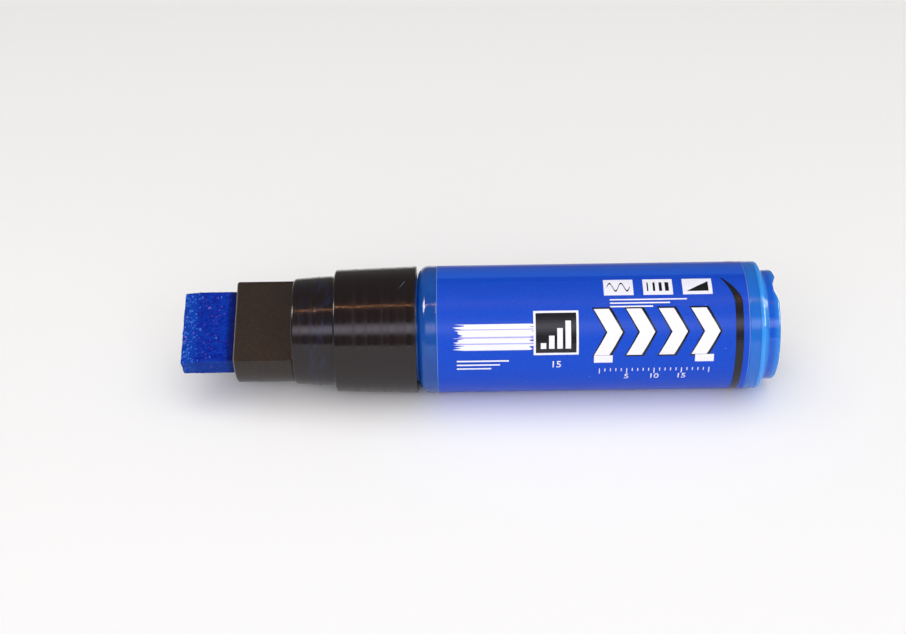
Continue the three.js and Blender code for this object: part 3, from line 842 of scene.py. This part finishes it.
barrel_thread = thread(
    "barrel_thread", BARREL_NECK_RADIUS - THREAD_ROOT_DEPTH, BARREL_NECK_RADIUS + THREAD_HEIGHT,
    THREAD_FIRST,
)
collar_thread = thread(
    "collar_thread", SKIRT_BORE + THREAD_ROOT_DEPTH, SKIRT_BORE - THREAD_HEIGHT,
    THREAD_FIRST + THREAD_PITCH / 2,
)
dress(collar_thread, "front", gloss_black, "collar_plastic")

# %% [markdown]
# ## The end plug
#
# A plug closes the barrel. Its flange tapers to a ring with two notches, as for a spanner. Each
# notch is cut by a box whose sides were splayed first, because the real notches have long ramps.

# %% End plug mesh
PLUG_FLANGE_FRONT = BARREL_REAR + 0.03
PLUG_FLANGE_REAR = BARREL_REAR + 0.45
PLUG_ROUND = 0.5
PLUG_TAPER_DEG = 60
PLUG_SPIGOT_RADIUS = BARREL_BORE - 0.1
PLUG_BORE = PLUG_SPIGOT_RADIUS - 1.0
RING_FOOT = PLUG_FLANGE_REAR + 1.2
RING_RADIUS = BARREL_RADIUS - 1.68
RING_WALL = 1.7
RING_EDGE = 0.45
PLUG_FLOOR = RING_FOOT - 1.6
NOTCH_WIDTH = 1.8
NOTCH_DEPTH = 0.85
NOTCH_RAMP = 2.4
NOTCH_ANGLES_DEG = (70.5, 250.5)

plug = turned("end_plug_moulding", [
    (PLUG_FLOOR, 0),
    (PLUG_FLOOR, PLUG_BORE),
    (PLUG_SPIGOT_FRONT, PLUG_BORE),
    (PLUG_SPIGOT_FRONT, PLUG_SPIGOT_RADIUS),
    (PLUG_FLANGE_FRONT, PLUG_SPIGOT_RADIUS),
    (PLUG_FLANGE_FRONT, BARREL_RADIUS),
    *rounding(
        PLUG_FLANGE_REAR, BARREL_RADIUS - PLUG_ROUND, PLUG_ROUND, 0, sweep_deg=PLUG_TAPER_DEG,
    ),
    (RING_FOOT, RING_RADIUS),
    *rounding(RING_REAR - RING_EDGE, RING_RADIUS - RING_EDGE, RING_EDGE, 0),
    (RING_REAR, RING_RADIUS - RING_WALL),
    (RING_FOOT, RING_RADIUS - RING_WALL),
    (RING_FOOT, 0),
])
for notch_angle in NOTCH_ANGLES_DEG:
    notch = level_box(
        "notch_cutter", RING_REAR, 2 * NOTCH_DEPTH, RING_RADIUS, 4 * RING_WALL, 0, NOTCH_WIDTH,
    )
    open_mesh(notch)
    pick(notch, "verts", lambda vertex: vertex.co.x > x_at(RING_REAR))
    bpy.ops.transform.resize(value=(1, (NOTCH_WIDTH + 4 * NOTCH_RAMP) / NOTCH_WIDTH, 1))
    close_mesh()
    rolled(notch, 90 - notch_angle)
    cut_away(plug, notch)
soften(plug, 0.07)

# %% [markdown]
# The blues are one polypropylene, seen in three ways: over the paint it is a strong blue, over
# air it is paler, and beside the collar its rim is painted lighter, painted light that lifts the
# shade in the corner by the collar. It is cloudy, so most of its colour is a soft scattering below
# the skin and a small part is clear transmission. The plug's colour runs in bands along it: pale
# bands on the flange's rounding and the ring's rear edge are painted highlights, and the deep
# blue at the foot of the ring is painted shade in the corner.

# %% Translucent polypropylene and paint
def translucent(name, clear, roughness):
    """Cloudy polypropylene that lets this share of the light through clearly."""
    material, shader = new_material(
        name, Roughness=roughness, IOR=1.49, Transmission_Weight=clear, Subsurface_Weight=0.35,
        Subsurface_Radius=(0.0006, 0.0012, 0.0030), Subsurface_Scale=1.0,
    )
    spot, parts = skin_places(material)
    wavy(material, shader, spot, 150.0, 1.0, 0.15, 0.0006)
    return material, shader, spot, parts["X"]


barrel_blue, shader, spot, along = translucent("translucent blue polypropylene", 0.2, 0.12)
clouds = mottled(barrel_blue, spot, 220.0, 3.0, (0.3, "#0A489C"), (0.7, "#1256AC"))
air_zone = (x_at(LABEL_REAR - 2), x_at(LABEL_REAR))
rim_painted_light_zone = (x_at(COLLAR_REAR + 1.1), x_at(COLLAR_REAR + 0.1))
over_air = laid_over(barrel_blue, clouds, "#1C71D4", (along, air_zone, (0.0, 1.0)))
# Painted light: the rim beside the collar is painted lighter, to lift the shade in that corner.
feed(shader, "Base Color", laid_over(
    barrel_blue, over_air, "#1468E0", (along, rim_painted_light_zone, (0.0, 0.9)),
))

plug_blue, shader, spot, along = translucent("translucent pale blue polypropylene", 0.1, 0.06)
plug_share = add_node(plug_blue, "MapRange", {
    "Value": along, "From": (x_at(BARREL_REAR), x_at(RING_REAR)),
})
# Painted highlights on the flange's rounding and the ring's rear edge, painted shade at its foot.
feed(shader, "Base Color", add_node(plug_blue, "ValToRGB", {"Fac": plug_share}, stops=[
    ((station - BARREL_REAR) / (RING_REAR - BARREL_REAR), colour) for station, colour in (
        (BARREL_REAR, "#2A8CF2"), (RING_FOOT - 0.9, "#3698FA"), (RING_FOOT - 0.35, "#4CB0FC"),
        (RING_FOOT + 0.25, "#1258C6"), (RING_FOOT + 0.9, "#1056C4"), (RING_REAR - 0.7, "#2078CE"),
        (RING_REAR, "#368ADC"),
    )
]))
paint_blue, shader = new_material(
    "wet cobalt blue acrylic paint", Base_Color="#1244B4", Roughness=0.3, IOR=1.45,
)
dress(barrel, "barrel", barrel_blue, "barrel_plastic", "barrel")
dress(barrel_thread, "barrel", barrel_blue, "barrel_plastic")
dress(paint_coat, "barrel", paint_blue, "barrel_plastic")
dress(plug, "barrel", plug_blue, "plug_plastic", "end_plug")

# %% [markdown]
# ## The label
#
# A sleeve of thin film with its end lapped over its start along the top. The sleeve is spun, then
# the faces of its outer skin in a strip along the top are picked by their angle and fattened by
# one more film.

# %% Label mesh
FILM_THICKNESS = 0.06
LABEL_BORE_RADIUS = LABEL_BED_RADIUS + 0.04
LABEL_SKIN_RADIUS = LABEL_BORE_RADIUS + FILM_THICKNESS
LAP_FROM_DEG = 76
LAP_TO_DEG = 90


def in_lap(face):
    """Whether a face of the label belongs to the outer skin under the lapped end."""
    middle = face.calc_center_median()
    height = middle.z - AXIS_Z
    outside = math.hypot(middle.y, height) > (LABEL_SKIN_RADIUS - FILM_THICKNESS / 3) * MM
    turn_deg = math.degrees(math.atan2(height, -middle.y))
    return outside and abs(face.normal.x) < 0.5 and LAP_FROM_DEG < turn_deg < LAP_TO_DEG


label = turned("label_film", [
    (LABEL_FRONT, LABEL_BORE_RADIUS),
    (LABEL_FRONT, LABEL_SKIN_RADIUS),
    (LABEL_REAR, LABEL_SKIN_RADIUS),
    (LABEL_REAR, LABEL_BORE_RADIUS),
    (LABEL_FRONT, LABEL_BORE_RADIUS),
])
open_mesh(label, "FACE")
pick(label, "faces", in_lap)
bpy.ops.mesh.extrude_region_shrink_fatten(
    TRANSFORM_OT_shrink_fatten={"value": FILM_THICKNESS * MM},
)
close_mesh()
soften(label, 0.012, segments=2)

# %% [markdown]
# The film is printed polypropylene: an even royal blue with a low gloss and a fine screen. Film
# on a tube is never quite flat, so a slow wave bends its reflections. Along the top, over the lap,
# the film is painted lighter as a painted sheen, both cut ends carry a pale line that is a painted
# highlight, and a few specks of dust cling to the skin.

# %% Printed film
SCREEN_MM = 0.35
CUT_GLINT_MM = 0.16

film_blue, shader = new_material(
    "printed royal blue polypropylene film",
    Base_Color="#0040C4", Roughness=0.3, IOR=1.49, Specular_IOR_Level=0.25,
)
spot, parts = skin_places(film_blue)
screened = mottled(film_blue, spot, 1 / (SCREEN_MM * MM), 2.0, (0.3, "#003CB4"), (0.7, "#0046BC"))
# Painted sheen: the top of the label, over the lap, is painted lighter.
lap_sheen_zone = [on_skin(0, LABEL_SKIN_RADIUS, math.radians(turn_deg)).z for turn_deg in (80, 83)]
film_shade = laid_over(film_blue, screened, "#1A54C4", (parts["Z"], lap_sheen_zone, (0.0, 1.0)))
# Painted highlights: a pale line along both cut ends, where the edge catches the light.
for edge, inwards in ((LABEL_FRONT, CUT_GLINT_MM), (LABEL_REAR, -CUT_GLINT_MM)):
    cut_glint_zone = (x_at(edge + inwards), x_at(edge + inwards / 2))
    film_shade = laid_over(film_blue, film_shade, "#7FA8E4", (parts["X"], cut_glint_zone, (0.0, 0.5)))
feed(shader, "Base Color", speckled(film_blue, spot, film_shade, 0.5, 0.996, 0.3, 0.6, "#7FA8E4"))
wavy(film_blue, shader, spot, 120.0, 1.0, 0.12, 0.0005)
dress(label, "barrel", film_blue, "label_film", "label_sleeve")

# %% [markdown]
# ## The print
#
# Ink is laid out flat, like the printer's sheet: X is the station along the marker and Y is the
# distance round it, from the viewer's horizon. The motifs are plain: brush strokes, a stepped
# gauge, chevrons, small panels, a scale with numbers, and a ring. Each colour is one flat mesh,
# cut into narrow strips and carried round the label, so that it lies there as a thin skin.

# %% Printing helpers
INK_RADIUS = LABEL_SKIN_RADIUS + 0.004
INK_THICKNESS = 0.012
STRIP_DEG = 2.5


def round_to(degrees):
    """The distance round the label, in millimetres, of a place this many degrees up."""
    return math.radians(degrees) * INK_RADIUS


def flat_shape(points):
    """A flat patch of ink with this outline of (station, distance round) points."""
    patch = drawn("ink_patch", [Vector((x * MM, y * MM, 0)) for x, y in points])
    bpy.ops.mesh.edge_face_add()
    close_mesh()
    return patch


def bar(station, low, length, height):
    """An upright rectangle, by its low front corner."""
    end, high = station + length, low + height
    return flat_shape([(station, low), (end, low), (end, high), (station, high)])


def number(text, station, middle, size):
    """A plain number, centred on this place and this high."""
    bpy.ops.object.text_add()
    figure = bpy.context.object
    figure.data.body = text
    figure.data.size = size * MM
    figure.data.align_x = figure.data.align_y = "CENTER"
    figure.data.offset = 0.012 * size * MM
    bpy.ops.object.convert(target="MESH")
    figure.location = (station * MM, middle * MM, 0)
    settle(figure)
    return figure


def printed(name, patches, layer):
    """Joins flat patches, cuts them into strips and wraps them round the label on this layer."""
    select_only(*patches)
    bpy.ops.object.join()
    ink = bpy.context.object
    ink.name = ink.data.name = name
    open_mesh(ink)
    bpy.ops.mesh.quads_convert_to_tris()
    heights = [vertex.co.y for vertex in bmesh.from_edit_mesh(ink.data).verts]
    strip = math.radians(STRIP_DEG) * INK_RADIUS * MM
    for line in range(math.floor(min(heights) / strip) + 1, math.ceil(max(heights) / strip)):
        bpy.ops.mesh.select_all(action="SELECT")
        bpy.ops.mesh.bisect(plane_co=(0, line * strip, 0), plane_no=(0, 1, 0))
    close_mesh()
    radius = INK_RADIUS + layer * INK_THICKNESS
    for vertex in ink.data.vertices:
        flat = vertex.co.copy()
        vertex.co = on_skin(x_at(flat.x / MM), radius, flat.y / (INK_RADIUS * MM))
    open_mesh(ink)
    axis = Vector((0, 0, AXIS_Z))
    pick(ink, "faces", lambda face: face.normal.yz.dot((face.calc_center_median() - axis).yz) < 0)
    bpy.ops.mesh.flip_normals()
    close_mesh()
    apply_modifier(ink, "SOLIDIFY", thickness=INK_THICKNESS * MM, offset=1.0)
    return ink


# %% [markdown]
# A broad nib leaves streaks with ragged ends. Each streak is an outline whose two ends are broken
# by seeded random steps, and lilac streaks lie between the white ones where the paint ran thin.

# %% Brush strokes
STROKE_START = 50.7
STROKE_END = 67.0
STROKE_RAGGED = 2.4
STROKE_STEPS = 5
STROKE_STREAKS = (1.1, 0.25, 0.9, 0.3, 1.2, 0.2, 0.9)
random.seed(15)


def streak(low, thickness):
    """One streak of the broad stroke, with its ends broken by up to the ragged length."""
    levels = [low + thickness * step / STROKE_STEPS for step in range(STROKE_STEPS + 1)]
    left = [(STROKE_START + random.uniform(0, STROKE_RAGGED), level) for level in levels]
    right = [(STROKE_END - random.uniform(0, STROKE_RAGGED), level) for level in levels]
    return flat_shape(left + right[::-1])


ground_white, lilac = [], []
streak_low = round_to(9)
for index, thickness in enumerate(STROKE_STREAKS):
    patches = lilac if index % 2 else ground_white
    patches.append(streak(streak_low, thickness))
    streak_low += thickness
print("brush stroke", round(sum(STROKE_STREAKS), 2), "mm wide")

# %% [markdown]
# The gauge is a black square in a white frame, with four bars of growing height. Behind it come
# four white chevrons with black edges, and two white feet.

# %% Gauge and chevrons
GAUGE_STATION = 65.5
GAUGE_SIZE = 8.2
GAUGE_LOW = round_to(4)
GAUGE_LINE = 0.4
GAUGE_BAR_MARGIN = 1.3
GAUGE_BAR_PITCH = 1.5
GAUGE_BAR_FOOT = 1.2
GAUGE_BAR_WIDTH = 1.0
GAUGE_BAR_FIRST = 1.1
GAUGE_BAR_GROWTH = 1.35
CHEVRON_FIRST = 76.5
CHEVRON_PITCH = 5.9
CHEVRON_LOW = round_to(3)
CHEVRON_HEIGHT = 8.6
CHEVRON_THICK = 2.75
CHEVRON_POINT = 2.4
EDGE_IN_FRONT = 0.35
EDGE_BEHIND = 0.4
EDGE_ABOVE = 0.3
FOOT_LOW = round_to(-4.5)
FOOT_LENGTH = 3.4
FOOT_HEIGHT = 1.5
FOOT_STATIONS = (CHEVRON_FIRST, CHEVRON_FIRST + 18.4)

far_line = GAUGE_SIZE - GAUGE_LINE
inside = GAUGE_SIZE - 2 * GAUGE_LINE
black = [bar(GAUGE_STATION, GAUGE_LOW, GAUGE_SIZE, GAUGE_SIZE)]
white = [
    bar(GAUGE_STATION + along, GAUGE_LOW + up, length, height) for along, up, length, height in (
        (0, 0, GAUGE_SIZE, GAUGE_LINE), (0, far_line, GAUGE_SIZE, GAUGE_LINE),
        (0, GAUGE_LINE, GAUGE_LINE, inside), (far_line, GAUGE_LINE, GAUGE_LINE, inside),
    )
]
white += [
    bar(
        GAUGE_STATION + GAUGE_BAR_MARGIN + GAUGE_BAR_PITCH * step, GAUGE_LOW + GAUGE_BAR_FOOT,
        GAUGE_BAR_WIDTH, GAUGE_BAR_FIRST + GAUGE_BAR_GROWTH * step,
    )
    for step in range(4)
]


def chevron(station, low, height, thick):
    """An arrow band with its low front corner here, which points to the rear."""
    middle, high, end = low + height / 2, low + height, station + thick
    return flat_shape([
        (station, low), (end, low), (end + CHEVRON_POINT, middle),
        (end, high), (station, high), (station + CHEVRON_POINT, middle),
    ])


for index in range(4):
    station = CHEVRON_FIRST + CHEVRON_PITCH * index
    white.append(chevron(station, CHEVRON_LOW, CHEVRON_HEIGHT, CHEVRON_THICK))
    black.append(chevron(
        station - EDGE_IN_FRONT, CHEVRON_LOW - EDGE_ABOVE, CHEVRON_HEIGHT + 2 * EDGE_ABOVE,
        EDGE_IN_FRONT + CHEVRON_THICK + EDGE_BEHIND,
    ))
white += [bar(station, FOOT_LOW, FOOT_LENGTH, FOOT_HEIGHT) for station in FOOT_STATIONS]

# %% [markdown]
# Small print: three panels with a wave, bars of growing width and a wedge, under the chevrons a
# scale of fine lines with plain numbers, and hairlines in place of captions.

# %% Panels, scale and hairlines
PANEL_STATIONS = (78.5, 85.7, 92.9)
PANEL_LOW = round_to(57)
PANEL_LENGTH = 5.4
PANEL_HEIGHT = 3.6
SCALE_STATION = 77.5
SCALE_HIGH = round_to(-11)

ground_white += [bar(station, PANEL_LOW, PANEL_LENGTH, PANEL_HEIGHT) for station in PANEL_STATIONS]
wave_station, bars_station, wedge_station = PANEL_STATIONS
wave = [
    (wave_station + 0.6 + 0.2 * i, PANEL_LOW + 1.8 + 0.9 * math.sin(i * 0.6)) for i in range(22)
]
black.append(flat_shape(
    [(x, y - 0.18) for x, y in wave] + [(x, y + 0.18) for x, y in reversed(wave)],
))
black += [
    bar(bars_station + 0.7 + 1.1 * i, PANEL_LOW + 0.8, 0.25 + 0.15 * i, 2.0) for i in range(4)
]
black.append(flat_shape([
    (wedge_station + 0.7, PANEL_LOW + 0.7), (wedge_station + 4.7, PANEL_LOW + 0.7),
    (wedge_station + 4.7, PANEL_LOW + 2.9),
]))

for tick in range(21):
    height = 0.7 if tick % 5 else 1.3
    white.append(bar(SCALE_STATION + tick, SCALE_HIGH - height, 0.16, height))
for mark in (5, 10, 15):
    white.append(number(str(mark), SCALE_STATION + mark + 0.1, SCALE_HIGH - 2.2, 1.9))
for row in range(3):
    white.append(bar(51.5, round_to(-2 - 4 * row), 9.5 - 1.6 * row, 0.3))
    white.append(bar(79.5, round_to(52 - 3.2 * row), 14.0 - 3.1 * row, 0.26))
white.append(number("15", 69.6, round_to(-6), 2.0))

# %% [markdown]
# A black ring closes the print at the rear. The artwork isn't quite square to the marker, so near
# the seam the ring leans forward and thins out to a point. It is one long outline.

# %% Ring and inks
RING_BAND = 102.2
RING_BAND_WIDTH = 1.35
RING_POINT_WIDTH = 0.08
RING_LEAN = 2.6
RING_START_DEG = -252
RING_STEP_DEG = 5.5
RING_STEPS = 60
LEAN_FROM_DEG = 50
LEAN_OVER_DEG = 28

ring_low, ring_high = [], []
for step in range(RING_STEPS + 1):
    degrees = RING_START_DEG + RING_STEP_DEG * step
    lean = max(0.0, (degrees - LEAN_FROM_DEG) / LEAN_OVER_DEG) ** 1.5
    front = RING_BAND - RING_LEAN * lean
    width = RING_BAND_WIDTH * (1 - lean) + RING_POINT_WIDTH
    ring_low.append((front, round_to(degrees)))
    ring_high.append((front + width, round_to(degrees)))
black.append(flat_shape(ring_low + ring_high[::-1]))


def uneven(material, patch_mm, detail, low, high):
    """A measure that wanders between two values, in patches of this size."""
    patches = add_node(material, "TexNoise", {
        "Vector": add_node(material, "TexCoord").outputs["Object"],
        "Scale": 1 / (patch_mm * MM), "Detail": detail,
    })
    return add_node(material, "MapRange", {"Value": patches, "From": (0.3, 0.7), "To": (low, high)})


def ink_material(name, colour, roughness):
    """Screen ink: flat colour that is mottled a little where it lies thinner."""
    material, shader = new_material(name, Base_Color=colour, Roughness=roughness, IOR=1.49)
    feed(shader, "Base Color", add_node(material, "Mix", {
        "Factor": 1.0, "A": colour, "B": uneven(material, 0.6, 2.0, 0.93, 1.0),
    }, data_type="RGBA", blend_type="MULTIPLY"))
    return material


white_ink = ink_material("white screen ink", "#E4E4EE", 0.32)
lilac_ink = ink_material("lilac screen ink", "#A9A6E0", 0.32)
black_ink = ink_material("black screen ink", "#0D0C12", 0.25)
for name, patches, layer, ink in (
    ("print_white_ground", ground_white, 0, white_ink),
    ("print_lilac", lilac, 0, lilac_ink),
    ("print_black", black, 1, black_ink),
    ("print_white", white, 2, white_ink),
):
    dress(printed(name, patches, layer), "barrel", ink, "label_film")

# %% [markdown]
# ## The pieces inside
#
# The valve, its seals and the two mixing balls keep the shapes of the engineering model and get
# their own finishes: white acetal, black nitrile rubber and polished ball steel.

# %% Finishes of the inner pieces
def inner_finish(name, colour, roughness, metallic, mottle_mm):
    """A finish whose roughness varies over patches of this size."""
    material, shader = new_material(name, Base_Color=colour, Metallic=metallic)
    gloss = uneven(material, mottle_mm, 3.0, roughness * 0.8, roughness * 1.2)
    feed(shader, "Roughness", gloss)
    return material


acetal = inner_finish("white acetal", "#DAD9D2", 0.45, 0.0, 1.5)
nitrile = inner_finish("black nitrile rubber", "#1C1B1B", 0.75, 0.0, 0.6)
spring_wire = inner_finish("drawn spring wire", "#B9BCC0", 0.28, 1.0, 0.5)
ball_steel = inner_finish("polished ball steel", "#C8CACC", 0.12, 1.0, 2.0)
for node_name, finish in (
    ("valve_body", acetal), ("valve_stem", acetal), ("spring_cage", acetal),
    ("stem_seal", nitrile), ("neck_gasket", nitrile),
    ("mixing_ball_front", ball_steel), ("mixing_ball_rear", ball_steel),
):
    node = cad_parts[node_name]
    node.data.materials.clear()
    node.data.materials.append(finish)
    print(node_name, "in", finish.name)

# %% [markdown]
# The spring alone is replaced, because a pressed valve shortens it. A round wire section is wound
# by the same helper as the threads.

# %% Valve spring
WIRE_RADIUS = 0.35
WIRE_SIDES = 12
SPRING_TURNS = 4.5
SPRING_STEPS = 48

spring_low, spring_high = (Vector(corner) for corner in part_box("valve_spring"))
spring_front = station_of(spring_low.x) + WIRE_RADIUS
spring_travel = station_of(spring_high.x) - WIRE_RADIUS - spring_front
coil_radius = (spring_high.y - spring_low.y) / 2 / MM - WIRE_RADIUS
wire_section = [
    (WIRE_RADIUS * math.cos(turn), coil_radius + WIRE_RADIUS * math.sin(turn))
    for turn in (2 * math.pi * side / WIRE_SIDES for side in range(WIRE_SIDES))
]
spring = wound(
    "valve_coil_spring", wire_section, spring_front, spring_travel / SPRING_TURNS, SPRING_TURNS,
    SPRING_STEPS,
)
spring.data.materials.append(spring_wire)
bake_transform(spring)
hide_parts("valve_spring")
print(spring.name, len(spring.data.polygons), "faces between the front and the stem")
